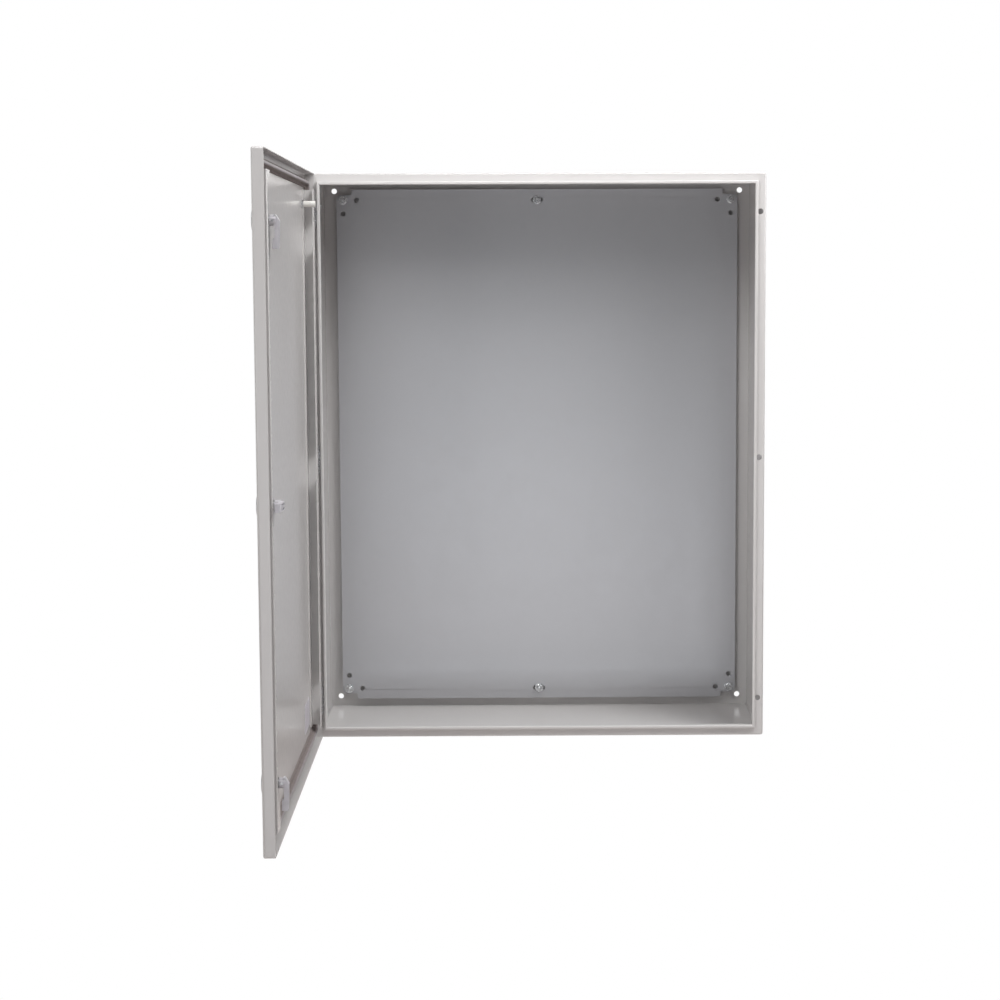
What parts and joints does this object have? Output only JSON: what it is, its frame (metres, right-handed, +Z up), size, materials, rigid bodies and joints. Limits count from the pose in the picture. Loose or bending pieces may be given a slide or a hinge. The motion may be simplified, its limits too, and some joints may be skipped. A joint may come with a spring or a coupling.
{
  "type": "wall enclosure",
  "caption": "Wall-mounted light grey steel enclosure with a hinged door on quarter-turn cam latches, foam gasket, door rails and a galvanised mounting plate.",
  "frame": {"origin": "centre of the four wall bolt holes, on the back face that lies against the wall", "axes": "+Z up, +Y into the wall, so the door opening faces -Y and +X is to the right seen from the front"},
  "size_m": [0.807, 1.0811, 1],
  "materials": {
    "cabinet_paint": "light grey textured powder coat",
    "door_paint": "light grey textured powder coat",
    "galvanised_sheet": "galvanised sheet, satin with a faint spangle",
    "zinc_plate": "bright zinc plate",
    "cast_zinc": "matt zinc casting",
    "satin_zinc": "satin nickel-plated zinc casting",
    "foam_gasket": "closed-skin grey polyurethane foam",
    "black_rubber": "black rubber",
    "cap_plastic": "natural polyethylene",
    "label_foil": "blank matt label foil"
  },
  "bodies": {
    "cabinet": {"body_shell": "cabinet_paint", "rear_panel": "cabinet_paint", "mounting_plate": "galvanised_sheet", "plate_studs": "zinc_plate", "plate_spacers": "zinc_plate", "plate_washers": "zinc_plate", "plate_nuts": "zinc_plate", "earth_stud": "zinc_plate", "earth_nut": "zinc_plate", "hinge_bracket_top": "zinc_plate", "hinge_bracket_middle": "zinc_plate", "hinge_bracket_bottom": "zinc_plate", "hinge_pin_top": "zinc_plate", "hinge_pin_middle": "zinc_plate", "hinge_pin_bottom": "zinc_plate", "hinge_screws": "zinc_plate"},
    "door": {"door_panel": "door_paint", "door_gasket": "foam_gasket", "hinge_side_rail": "door_paint", "lock_side_rail": "door_paint", "door_hinge_leaf_top": "zinc_plate", "door_hinge_leaf_middle": "zinc_plate", "door_hinge_leaf_bottom": "zinc_plate", "door_earth_stud": "zinc_plate", "door_earth_nut": "zinc_plate", "door_stud_cap": "cap_plastic", "blank_label": "label_foil", "lock_housing_top": "satin_zinc", "lock_housing_middle": "satin_zinc", "lock_housing_bottom": "satin_zinc", "lock_seal_top": "black_rubber", "lock_seal_middle": "black_rubber", "lock_seal_bottom": "black_rubber", "lock_nut_top": "zinc_plate", "lock_nut_middle": "zinc_plate", "lock_nut_bottom": "zinc_plate"},
    "latch_top": {"lock_core_top": "satin_zinc", "latch_cam_top": "cast_zinc", "cam_screw_top": "zinc_plate"},
    "latch_middle": {"lock_core_middle": "satin_zinc", "latch_cam_middle": "cast_zinc", "cam_screw_middle": "zinc_plate"},
    "latch_bottom": {"lock_core_bottom": "satin_zinc", "latch_cam_bottom": "cast_zinc", "cam_screw_bottom": "zinc_plate"}
  },
  "joints": [
    {"name": "door_hinge", "type": "hinge", "parent": "cabinet", "child": "door", "pos_m": [-0.394, -0.287, 0], "axis": [0, 0, 1], "range_deg": [-25.7, 89.3]},
    {"name": "latch_top_turn", "type": "hinge", "parent": "door", "child": "latch_top", "pos_m": [-0.38183, -1.03716, 0.4], "axis": [-0.9999, -0.0122, 0], "range_deg": [0, 90]},
    {"name": "latch_middle_turn", "type": "hinge", "parent": "door", "child": "latch_middle", "pos_m": [-0.38183, -1.03716, 0], "axis": [-0.9999, -0.0122, 0], "range_deg": [-90, 0]},
    {"name": "latch_bottom_turn", "type": "hinge", "parent": "door", "child": "latch_bottom", "pos_m": [-0.38183, -1.03716, -0.4], "axis": [-0.9999, -0.0122, 0], "range_deg": [0, 90]}
  ]
}
